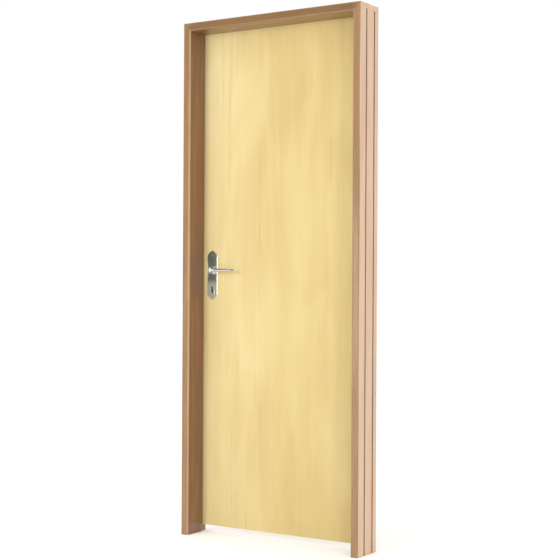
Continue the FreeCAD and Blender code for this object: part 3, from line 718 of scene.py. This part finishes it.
@dataclass
class Assembly:
    """A group of the door's pieces.

    Attributes:
        nodes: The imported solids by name.
        finishes: The materials.
        pieces: Names of the pieces that are done.
    """

    nodes: dict[str, Object]
    finishes: Finishes
    pieces: list[str] = field(default_factory=list, kw_only=True)

    def build(self) -> None:
        """Makes the pieces."""
        raise NotImplementedError

    def paint(self, material: Material, *names: str) -> None:
        """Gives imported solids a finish.

        Args:
            material: The finish.
            *names: The solids.
        """
        for name in names:
            mesh = self.nodes[name].data
            mesh.materials.clear()
            mesh.materials.append(material)
            self.pieces.append(name)

    def ease(
        self, node: str, material: Material, body: Body, slot: str,
        width: float, segments: int = 2,
    ) -> None:
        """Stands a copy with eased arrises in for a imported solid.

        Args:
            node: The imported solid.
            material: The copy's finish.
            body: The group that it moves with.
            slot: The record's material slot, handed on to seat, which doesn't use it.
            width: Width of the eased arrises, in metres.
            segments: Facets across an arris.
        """
        mesh = self.nodes[node].data.copy()
        work = bmesh.new()
        work.from_mesh(mesh)
        bmesh.ops.remove_doubles(work, verts=work.verts, dist=WELD)
        bmesh.ops.dissolve_limit(
            work, angle_limit=math.radians(FLAT), verts=work.verts, edges=work.edges
        )
        bmesh.ops.recalc_face_normals(work, faces=work.faces)
        work.to_mesh(mesh)
        work.free()
        mesh.materials.clear()
        mesh.materials.append(material)
        sharpen(mesh, 180.0)
        copy = new_object(f"{node}_finished", mesh)
        bevel = copy.modifiers.new("ease", "BEVEL")
        bevel.width = width
        bevel.segments = segments
        bevel.limit_method = "ANGLE"
        bevel.angle_limit = math.radians(EASE_FROM)
        bevel.use_clamp_overlap = True
        flatten = copy.modifiers.new("flatten", "WEIGHTED_NORMAL")
        flatten.mode = "FACE_AREA"
        flatten.weight = FLAT_WEIGHT
        self.seat(baked(copy), body, slot, node)

    def seat(self, obj: Object, body: Body, slot: str, *stands_for: str) -> None:
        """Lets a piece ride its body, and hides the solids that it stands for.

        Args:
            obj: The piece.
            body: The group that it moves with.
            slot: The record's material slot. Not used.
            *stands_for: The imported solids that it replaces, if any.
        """
        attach(obj, body.value)
        if stands_for:
            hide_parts(*stands_for)
        self.pieces.append(obj.name)


@dataclass
class Frame(Assembly):
    """The two jambs, the head and the strike."""

    arris: float = 0.8 * MM

    def build(self) -> None:
        """Makes the pieces."""
        for node, wood in (
            ("hinge_jamb", self.finishes.upright),
            ("latch_jamb", self.finishes.upright),
            ("head_jamb", self.finishes.cross),
        ):
            self.ease(node, wood, Body.FRAME, "frame_wood", self.arris)
        self.paint(self.finishes.lock, "strike_plate")


@dataclass
class Leaf(Assembly):
    """The two skins over the inner frame and the paper core."""

    arris: float = 0.6 * MM

    def build(self) -> None:
        """Makes the pieces."""
        for node in ("front_skin", "back_skin"):
            self.ease(node, self.finishes.veneer, Body.LEAF, "leaf_veneer", self.arris)
        self.paint(self.finishes.sawn_upright, "hinge_stile", "latch_stile", "lock_block")
        self.paint(self.finishes.sawn_cross, "top_rail", "bottom_rail")
        self.paint(self.finishes.paper, "honeycomb_core")


@dataclass
class Hinges(Assembly):
    """Three butt hinges, each of two flaps and a pin."""

    arris: float = 0.35 * MM

    def build(self) -> None:
        """Makes the pieces."""
        for hinge in HINGES:
            for node, body in (
                (f"{hinge}_hinge_frame_flap", Body.FRAME),
                (f"{hinge}_hinge_leaf_flap", Body.LEAF),
                (f"{hinge}_hinge_pin", Body.FRAME),
            ):
                self.ease(node, self.finishes.hinge, body, "hinge_steel", self.arris)


@dataclass
class Lock(Assembly):
    """The case, the fore-end, the bolts and the spindle."""

    def build(self) -> None:
        """Gives the pieces their finish."""
        self.paint(
            self.finishes.lock,
            "lock_case", "lock_fore_end", "latch_bolt", "dead_bolt", "spindle",
        )


@dataclass(frozen=True)
class Station:
    """One section of a lever.

    Attributes:
        run: Distance from the turning axis towards the hinges.
        rise: Distance from the leaf's face.
        lean: Turn of the section away from the leaf's face, in radians.
        depth: Size across the arm, away from the leaf.
        height: Upright size.
    """

    run: float
    rise: float
    lean: float
    depth: float
    height: float


@dataclass
class Lever:
    """One lever: a turned collar and a bevelled arm that swans out and runs level.

    Attributes:
        axis: A point of the turning axis on the leaf's face.
        out: Way out of the leaf along Y, -1 in front and 1 behind.
        base: Height of the collar's foot, and collar its thickness.
        reach: Distance of the level arm from the leaf's face.
        bend: Run of the bend, and length that of the whole arm.
        root: Depth and height of the arm at the collar, arm after the bend, tip at the end.
        bevel: Share of half the depth that the bevels take.
        corner: Share of each bevel and face that a corner's easing takes.
        first: Angle of the bend where it leaves the collar.
        slimming: How fast the bend slims down.
        tip_start: Share of the level arm where the tip begins to round.
        tip_end: Share of the arm's girth that is left at the very end.
    """

    axis: Vector
    out: float
    base: float = 7.5 * MM
    collar: float = 2.5 * MM
    collar_radius: float = 15.5 * MM
    collar_ease: float = 0.7 * MM
    collar_sides: int = 64
    neck_radius: float = 9.0 * MM
    reach: float = 36.0 * MM
    bend: float = 40.0 * MM
    length: float = 138.0 * MM
    root: tuple[float, float] = (25.0 * MM, 28.0 * MM)
    arm: tuple[float, float] = (10.8 * MM, 13.2 * MM)
    tip: tuple[float, float] = (7.4 * MM, 8.4 * MM)
    bevel: float = 0.5
    corner: float = 0.22
    first: float = math.radians(30)
    slimming: float = 2.2
    bend_steps: int = 28
    arm_steps: int = 6
    tip_steps: int = 5
    tip_start: float = 0.975
    tip_end: float = 0.45
    hard_from: float = 40.0

    def stations(self) -> list[Station]:
        """Lists the sections from inside the collar to the tip.

        Returns:
            The sections.
        """
        start = self.base + self.collar / 2
        found = []
        for step in range(self.bend_steps):
            part = step / self.bend_steps
            angle = self.first + part * (math.pi / 2 - self.first)
            run = 1 - math.cos(angle) / math.cos(self.first)
            climb = (math.sin(angle) - math.sin(self.first)) / (1 - math.sin(self.first))
            girth = (1 - part) ** self.slimming
            sizes = [low + girth * (high - low) for low, high in zip(self.arm, self.root)]
            lean = angle * (1 - (1 - part) ** 3)
            found.append(Station(
                run * self.bend, start + climb * (self.reach - start), lean, *sizes
            ))
        for step in range(self.arm_steps):
            found.append(self.level(self.tip_start * step / self.arm_steps, 1.0))
        for step in range(self.tip_steps + 1):
            turn = math.pi / 2 * step / self.tip_steps
            share = self.tip_start + (1 - self.tip_start) * math.sin(turn)
            fullness = self.tip_end + (1 - self.tip_end) * math.cos(turn)
            found.append(self.level(share, fullness))
        return found

    def level(self, share: float, fullness: float) -> Station:
        """Gives a section of the level arm.

        Args:
            share: Share of the level arm's length.
            fullness: Share of the full girth there.

        Returns:
            The section.
        """
        depth, height = (
            (big + share * (small - big)) * fullness for big, small in zip(self.arm, self.tip)
        )
        run = self.bend + share * (self.length - self.bend)
        return Station(run, self.reach, math.pi / 2, depth, height)

    def ring(self, station: Station) -> list[Vector]:
        """Lists the points round one section, with its eight corners eased.

        Args:
            station: The section.

        Returns:
            The points.
        """
        wide, high = station.depth / 2, station.height / 2
        cut = wide * self.bevel
        corners = [
            (wide, cut - high), (wide, high - cut), (wide - cut, high), (cut - wide, high),
            (-wide, high - cut), (-wide, cut - high), (cut - wide, -high), (wide - cut, -high),
        ]
        points = []
        for index, place in enumerate(corners):
            corner = Vector(place)
            start = corner.lerp(Vector(corners[index - 1]), self.corner)
            end = corner.lerp(Vector(corners[(index + 1) % len(corners)]), self.corner)
            points += [start, (start + end + 2 * corner) / 4, end]
        lean = Vector((math.cos(station.lean), -math.sin(station.lean)))
        return [
            self.place(station.run + point.x * lean.x, station.rise + point.x * lean.y, point.y)
            for point in points
        ]

    def place(self, run: float, rise: float, up: float) -> Vector:
        """Turns a place on the lever into one in the row frame."""
        return self.axis + Vector((run, self.out * rise, up))

    def build(self, name: str) -> Mesh:
        """Makes the mesh.

        Args:
            name: The mesh's name.

        Returns:
            The mesh.
        """
        work = bmesh.new()
        skin(work, [[work.verts.new(point) for point in self.ring(s)] for s in self.stations()])
        top = self.base + self.collar
        ease, edge, neck = self.collar_ease, self.collar_radius, self.neck_radius
        profile = [
            (neck, 0.0), (neck, self.base), (edge - ease, self.base), (edge, self.base + ease),
            (edge, top - ease), (edge - 0.3 * ease, top - 0.3 * ease), (edge - ease, top),
            (neck, top),
        ]
        turns = [2 * math.pi * step / self.collar_sides for step in range(self.collar_sides)]
        skin(work, [
            [
                work.verts.new(self.place(radius * math.cos(turn), rise, radius * math.sin(turn)))
                for turn in turns
            ]
            for radius, rise in profile
        ])
        bmesh.ops.recalc_face_normals(work, faces=work.faces)
        mesh = bpy.data.meshes.new(name)
        work.to_mesh(mesh)
        work.free()
        sharpen(mesh, self.hard_from)
        return mesh


@dataclass
class Furniture(Assembly):
    """The long plates and the levers on both faces.

    Attributes:
        axis: A point of the levers' turning axis.
    """

    axis: Vector
    arris: float = 0.5 * MM
    facets: int = 3

    def build(self) -> None:
        """Makes the pieces."""
        front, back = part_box("front_skin")[0].y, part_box("back_skin")[1].y
        for side, face, out in (("front", front, -1.0), ("back", back, 1.0)):
            self.ease(
                f"{side}_escutcheon", self.finishes.chrome, Body.LEAF, "furniture_chrome",
                self.arris, self.facets,
            )
            name = f"{side}_lever_finished"
            foot = Vector((self.axis.x, face, self.axis.z))
            lever = new_object(name, Lever(foot, out).build(name))
            lever.data.materials.append(self.finishes.lever)
            self.seat(lever, Body.LEVERS, "furniture_chrome", f"{side}_lever")


@dataclass(frozen=True)
class Screw:
    """One screw head.

    Attributes:
        place: The middle of its foot.
        out: The way that it looks.
        radius: Its radius.
    """

    place: Point
    out: Point
    radius: float


class ScrewHead(Graph):
    """Node tree that puts a cross-slotted head on every point of a mesh.

    Attributes:
        sides: Facets round a head.
        dome: Its height and the radius of its top, as shares of its radius.
        slot_width: Width of a slot, as a share of the head's radius. slot_length and
            slot_depth are its other sizes.
        slot_top: Height of the middle of the slots' cutters.
    """

    sides = 28
    dome = (0.16, 0.82)
    slot_width = 0.2
    slot_length = 1.3
    slot_depth = 0.16
    slot_top = 0.17

    def __init__(self) -> None:
        """Builds the tree."""
        group = bpy.data.node_groups.new("screw_heads", "GeometryNodeTree")
        super().__init__(group)
        face = group.interface
        face.new_socket("Points", in_out="INPUT", socket_type="NodeSocketGeometry")
        for name in ("Slot width", "Slot length", "Slot depth"):
            face.new_socket(name, in_out="INPUT", socket_type="NodeSocketFloat")
        face.new_socket("Steel", in_out="INPUT", socket_type="NodeSocketMaterial")
        face.new_socket("Heads", in_out="OUTPUT", socket_type="NodeSocketGeometry")
        points = self.add("NodeGroupInput")
        width, length, depth, steel = (points.other(index) for index in (1, 2, 3, 4))
        high = depth * 2.0
        cross = self.add("GeometryNodeMeshBoolean", {"operation": "UNION"}, {}, "Mesh")
        for size in ({0: length, 1: width, 2: high}, {0: width, 1: length, 2: high}):
            box = self.add("ShaderNodeCombineXYZ", None, size)
            cutter = self.add("GeometryNodeMeshCube", None, {"Size": box}, "Mesh")
            slot = self.add(
                "GeometryNodeTransform", None,
                {"Geometry": cutter, "Translation": (0.0, 0.0, self.slot_top)},
            )
            self.feed(cross.socket.node.inputs["Mesh 2"], slot)
        dome = self.add(
            "GeometryNodeMeshCone", {"fill_type": "NGON"},
            {"Vertices": self.sides, "Side Segments": 1, "Radius Top": self.dome[1],
             "Radius Bottom": 1.0, "Depth": self.dome[0]},
            "Mesh",
        )
        head = self.add(
            "GeometryNodeMeshBoolean", {"operation": "DIFFERENCE"},
            {"Mesh 1": dome, "Mesh 2": cross}, "Mesh",
        )
        out = self.add(
            "GeometryNodeInputNamedAttribute", {"data_type": "FLOAT_VECTOR"}, {"Name": "out"}
        )
        radius = self.add(
            "GeometryNodeInputNamedAttribute", {"data_type": "FLOAT"}, {"Name": "radius"}
        )
        turn = self.add("FunctionNodeAlignRotationToVector", {"axis": "Z"}, {"Vector": out})
        spread = self.add(
            "GeometryNodeInstanceOnPoints", None,
            {"Points": points, "Instance": head, "Rotation": turn, "Scale": radius},
        )
        real = self.add("GeometryNodeRealizeInstances", None, {"Geometry": spread})
        painted = self.add("GeometryNodeSetMaterial", None, {"Geometry": real, "Material": steel})
        self.add("NodeGroupOutput", None, {0: painted})

    def drive(self, obj: Object, steel: Material) -> Object:
        """Grows the heads on an object's points and turns them into plain mesh.

        Args:
            obj: The object, whose points carry the attributes out and radius.
            steel: The heads' finish.

        Returns:
            The same object, without the modifier.
        """
        modifier = obj.modifiers.new("screw_heads", "NODES")
        modifier.node_group = self.tree
        sockets = {item.name: item.identifier for item in self.tree.interface.items_tree}
        modifier[sockets["Slot width"]] = self.slot_width
        modifier[sockets["Slot length"]] = self.slot_length
        modifier[sockets["Slot depth"]] = self.slot_depth
        modifier[sockets["Steel"]] = steel
        return baked(obj)


@dataclass
class Fixings(Assembly):
    """The screws of hinges, strike, fore-end and plates.

    Attributes:
        axis: A point of the levers' turning axis.
        heads: The tree that makes the heads.
        edge_radius: Radius of a screw in the strike and the fore-end.
        frame_flap_face: Place along X of the face of a frame flap, and leaf_flap_face that
            of a leaf flap.
        flap_heights: Heights of a flap's screws, as shares of its height.
        flap_lines: Distances of its two rows from its edge in the wood.
        proud: How far the heads stand out, and plate_proud those on the long plates.
        plate_insets: Distances of a long plate's screws from its foot and its top.
    """

    axis: Vector
    heads: ScrewHead
    flap_radius: float = 4.0 * MM
    edge_radius: float = 3.4 * MM
    plate_radius: float = 3.6 * MM
    frame_flap_face: float = -23.0 * MM
    leaf_flap_face: float = -26.0 * MM
    flap_heights: tuple[float, ...] = (0.12, 0.36, 0.64, 0.88)
    flap_lines: tuple[float, float] = (8.5 * MM, 20.0 * MM)
    proud: float = 0.04 * MM
    plate_proud: float = 0.1 * MM
    strike_inset: float = 9.0 * MM
    fore_end_inset: float = 12.0 * MM
    plate_thickness: float = 4.0 * MM
    plate_insets: tuple[float, float] = (11.5 * MM, 18.0 * MM)

    def on_flap(self, node: str, face: float, way: float) -> list[Screw]:
        """Places four staggered screws on a flap that looks along X.

        Args:
            node: The flap.
            face: Place of its face along X.
            way: The way that it looks, -1 or 1.

        Returns:
            The screws.
        """
        low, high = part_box(node)
        near, far = (low.y + line for line in self.flap_lines)
        return [
            Screw((face + way * self.proud, y, low.z + share * (high.z - low.z)),
                  (way, 0.0, 0.0), self.flap_radius)
            for share, y in zip(self.flap_heights, (near, far, far, near))
        ]

    def on_edge(self, node: str, face: float, way: float, inset: float) -> list[Screw]:
        """Places two screws near the ends of an upright plate that looks along X.

        Args:
            node: The plate.
            face: Place of its face along X.
            way: The way that it looks, -1 or 1.
            inset: Distance of a screw from its end.

        Returns:
            The screws.
        """
        low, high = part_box(node)
        middle = (low.y + high.y) / 2
        return [
            Screw((face + way * self.proud, middle, z), (way, 0.0, 0.0), self.edge_radius)
            for z in (low.z + inset, high.z - inset)
        ]

    def on_plate(self, node: str, face: float, way: float) -> list[Screw]:
        """Places two screws near the tips of a long plate.

        Args:
            node: The plate.
            face: Place along Y of the leaf's face behind it.
            way: The way that it looks, -1 or 1.

        Returns:
            The screws.
        """
        low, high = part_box(node)
        y = face + way * (self.plate_thickness + self.plate_proud)
        foot, top = self.plate_insets
        return [
            Screw((self.axis.x, y, z), (0.0, way, 0.0), self.plate_radius)
            for z in (low.z + foot, high.z - top)
        ]

    def fix(self, name: str, body: Body, slot: str, steel: Material,
            screws: list[Screw]) -> None:
        """Makes one mesh of screw heads for a body.

        Args:
            name: The piece's name.
            body: The group that it moves with.
            slot: The record's material slot, handed on to seat, which doesn't use it.
            steel: Its finish.
            screws: The screws.
        """
        mesh = bpy.data.meshes.new(name)
        mesh.from_pydata([screw.place for screw in screws], [], [])
        mesh.attributes.new("out", "FLOAT_VECTOR", "POINT")
        mesh.attributes.new("radius", "FLOAT", "POINT")
        for index, screw in enumerate(screws):
            mesh.attributes["out"].data[index].vector = screw.out
            mesh.attributes["radius"].data[index].value = screw.radius
        obj = self.heads.drive(new_object(name, mesh), steel)
        sharpen(obj.data, 30.0)
        self.seat(obj, body, slot)

    def build(self) -> None:
        """Makes the screws."""
        steel, lock, chrome = self.finishes.hinge, self.finishes.lock, self.finishes.chrome
        for side, body, face, way in (
            ("frame", Body.FRAME, self.frame_flap_face, -1.0),
            ("leaf", Body.LEAF, self.leaf_flap_face, 1.0),
        ):
            screws = [
                screw for hinge in HINGES
                for screw in self.on_flap(f"{hinge}_hinge_{side}_flap", face, way)
            ]
            self.fix(f"{side}_flap_screws", body, "hinge_steel", steel, screws)
        strike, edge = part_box("strike_plate")[1].x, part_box("lock_fore_end")[0].x
        screws = self.on_edge("strike_plate", strike, 1.0, self.strike_inset)
        self.fix("strike_screws", Body.FRAME, "lock_steel", lock, screws)
        screws = self.on_edge("lock_fore_end", edge, -1.0, self.fore_end_inset)
        self.fix("fore_end_screws", Body.LEAF, "lock_steel", lock, screws)
        front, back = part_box("front_skin")[0].y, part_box("back_skin")[1].y
        screws = self.on_plate("front_escutcheon", front, -1.0)
        screws += self.on_plate("back_escutcheon", back, 1.0)
        self.fix("plate_screws", Body.LEAF, "furniture_chrome", chrome, screws)


@dataclass(frozen=True)
class Panel:
    """A rectangle on the stage that faces a point.

    Attributes:
        name: Its name.
        place: Its middle.
        target: The point that it faces.
        size: Its width and height.
    """

    name: str
    place: Point
    target: Point
    size: tuple[float, float]

    def way(self) -> Vector:
        """Gives the way that it faces."""
        return Vector(self.target) - Vector(self.place)


@dataclass(frozen=True)
class Lamp(Panel):
    """A soft lamp of a power in watts, which gloss and metal mirror or don't."""

    power: float
    mirrored: bool

    def build(self) -> None:
        """Hangs the lamp."""
        light = bpy.data.lights.new(self.name, "AREA")
        light.shape = "RECTANGLE"
        light.size, light.size_y = self.size
        light.energy = self.power
        obj = new_object(self.name, light)
        obj.location = self.place
        obj.rotation_euler = self.way().to_track_quat("-Z", "Y").to_euler()
        obj.visible_glossy = self.mirrored


@dataclass(frozen=True)
class Card(Panel):
    """A one-sided upright card that only gloss and metal mirror.

    Attributes:
        shades: Its colour at the foot and at the top.
        change: The heights between which the first goes over into the second.
        glow: How strongly it shines.
    """

    shades: tuple[Colour, Colour] = (WHITE, WHITE)
    change: tuple[float, float] = (0.0, 1.0)
    glow: float = 1.0

    def build(self) -> None:
        """Stands the card up."""
        way = self.way()
        ahead = Vector((way.x, way.y, 0.0)).normalized()
        right = Vector((-ahead.y, ahead.x, 0.0)) * self.size[0] / 2
        up = Vector((0.0, 0.0, self.size[1] / 2))
        corners = [
            tuple(Vector(self.place) + across * right + rise * up)
            for across, rise in ((-1, -1), (1, -1), (1, 1), (-1, 1))
        ]
        mesh = bpy.data.meshes.new(self.name)
        mesh.from_pydata(corners, [], [(0, 1, 2, 3)])
        obj = new_object(self.name, mesh)
        paint = Paint(f"{self.name}_paint")
        paint.set(
            Base_Color=BLACK, Roughness=1.0, Specular_IOR_Level=0.0,
            Emission_Color=paint.mix(paint.z.spread(*self.change), *self.shades),
            Emission_Strength=self.glow,
            Alpha=1.0 - paint.add("ShaderNodeNewGeometry", output="Backfacing"),
        )
        mesh.materials.append(paint.material)
        obj.visible_camera = False
        obj.visible_diffuse = False
        obj.visible_shadow = False
        obj.visible_transmission = False


LAMPS = (
    Lamp("key", (-1.3, -3.7, 2.0), (-0.5, 0.0, 1.1), (1.2, 1.6), power=60.0, mirrored=False),
    Lamp("edge_strip", (3.0, -2.6, 1.2), (-0.8, 0.0, 1.1), (0.4, 2.6), power=30.0, mirrored=True),
)

# Tones of glowing cards that the chrome mirrors: painted reflections, pale below and dark above,
# and grey at the lever's tip.
STEEL_REFLECTION_TONES = (rgb(206, 203, 182), rgb(122, 121, 108))
TIP_REFLECTION_TONE = rgb(150, 132, 118)

# The large cards light the varnish and the metal from afar. The small ones stand beside the front
# plate and lever and put painted highlights and reflections on them, so that each of these
# mirrors its own tone.
CARDS = (
    Card("soft_card", (-2.0, -3.3, 1.15), (-0.02, 0.0, 1.15), (1.0, 1.2), glow=3.2),
    Card("tip_card", (-0.6475, -0.015, LEVER_Z), (-0.6475, 0.0, LEVER_Z), (0.035, 0.024),
         shades=(TIP_REFLECTION_TONE, TIP_REFLECTION_TONE)),
    Card("root_card", (-0.819, -0.038, LEVER_Z), (0.0, -0.038, LEVER_Z), (0.064, 0.026),
         glow=1.4),
    Card("far_card", (-4.4, -5.6, 2.5), (-0.77, 0.0, 2.5), (4.0, 5.0),
         shades=STEEL_REFLECTION_TONES, change=(1.0, 1.12)),
    Card("back_card", (0.5, 6.0, 3.3), (0.5, 0.0, 3.3), (9.0, 4.4),
         shades=(WHITE, rgb(120, 120, 114)), change=(1.25, 1.7)),
    Card("boss_card", (-0.8185, 0.0225, LEVER_Z), (0.0, 0.0225, LEVER_Z), (0.029, 0.07),
         glow=1.6),
    Card("near_card", (-0.8195, -0.0175, 1.1), (0.0, -0.0175, 1.1), (0.108, 0.32),
         shades=STEEL_REFLECTION_TONES, change=(1.055, 1.08)),
)


@dataclass
class Stage:
    """White floor, soft light from the front left, and the camera.

    Attributes:
        place: The camera's place, with yaw, pitch and roll as its turns in radians.
        lens: Its focal length in millimetres, on a sensor of the width sensor.
        floor_shade: The floor's whiteness, and floor_glow how much it shines by itself.
    """

    place: Point = (2.44716, -4.42937, 1.06083)
    yaw: float = 0.572986
    pitch: float = 0.00285147
    roll: float = -0.00528095
    lens: float = 82.91
    sensor: float = 36.0
    sight: float = 100.0
    floor_half: float = 60.0
    floor_shade: float = 0.9
    floor_glow: float = 0.18

    def camera(self) -> None:
        """Sets the camera where the photo was taken from."""
        camera = bpy.data.cameras.new("camera")
        camera.lens = self.lens
        camera.sensor_width = self.sensor
        camera.clip_end = self.sight
        obj = new_object("camera", camera)
        turn = (
            Matrix.Rotation(self.yaw, 4, "Z")
            @ Matrix.Rotation(self.pitch, 4, "X")
            @ Matrix.Rotation(self.roll, 4, "Y")
            @ Matrix.Rotation(math.pi / 2, 4, "X")
        )
        obj.matrix_world = Matrix.Translation(self.place) @ turn
        bpy.context.scene.camera = obj

    def floor(self) -> None:
        """Lays a wide pale floor under the jambs."""
        half, shade = self.floor_half, self.floor_shade
        mesh = bpy.data.meshes.new("floor")
        corners = [(-half, -half, 0), (half, -half, 0), (half, half, 0), (-half, half, 0)]
        mesh.from_pydata(corners, [], [(0, 1, 2, 3)])
        obj = new_object("floor", mesh)
        paint = Paint("floor_paint")
        paint.set(
            Base_Color=(shade, shade, shade, 1.0), Roughness=1.0, Specular_IOR_Level=0.0,
            Emission_Color=WHITE, Emission_Strength=self.floor_glow,
        )
        mesh.materials.append(paint.material)

    def world(self) -> None:
        """Surrounds the scene with plain white light."""
        world = bpy.data.worlds.new("studio")
        world.use_nodes = True
        graph = Graph(world.node_tree)
        world.node_tree.nodes.clear()
        sky = graph.add("ShaderNodeBackground", None, {"Color": WHITE, "Strength": 1.0})
        graph.add("ShaderNodeOutputWorld", None, {"Surface": sky})
        bpy.context.scene.world = world

    def build(self) -> None:
        """Sets the whole stage."""
        self.camera()
        self.floor()
        self.world()
        for panel in LAMPS + CARDS:
            panel.build()
        bpy.context.scene.view_settings.view_transform = "Standard"


def main() -> None:
    """Builds the door and its stage."""
    logging.basicConfig(level=logging.INFO, format="%(message)s")
    bpy.ops.wm.read_factory_settings(use_empty=True)
    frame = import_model()
    stock = (frame["nodes"], Finishes())
    axis = next(Vector(j["pos_m"]) for j in frame["joints"] if j["name"] == "lever_turn")
    parts = (
        Frame(*stock), Leaf(*stock), Hinges(*stock), Lock(*stock), Furniture(*stock, axis),
        Fixings(*stock, axis, ScrewHead()),
    )
    for part in parts:
        part.build()
        for piece in part.pieces:
            LOG.info("%s: %s", type(part).__name__, piece)
    Stage().build()


if __name__ == "__main__":
    main()
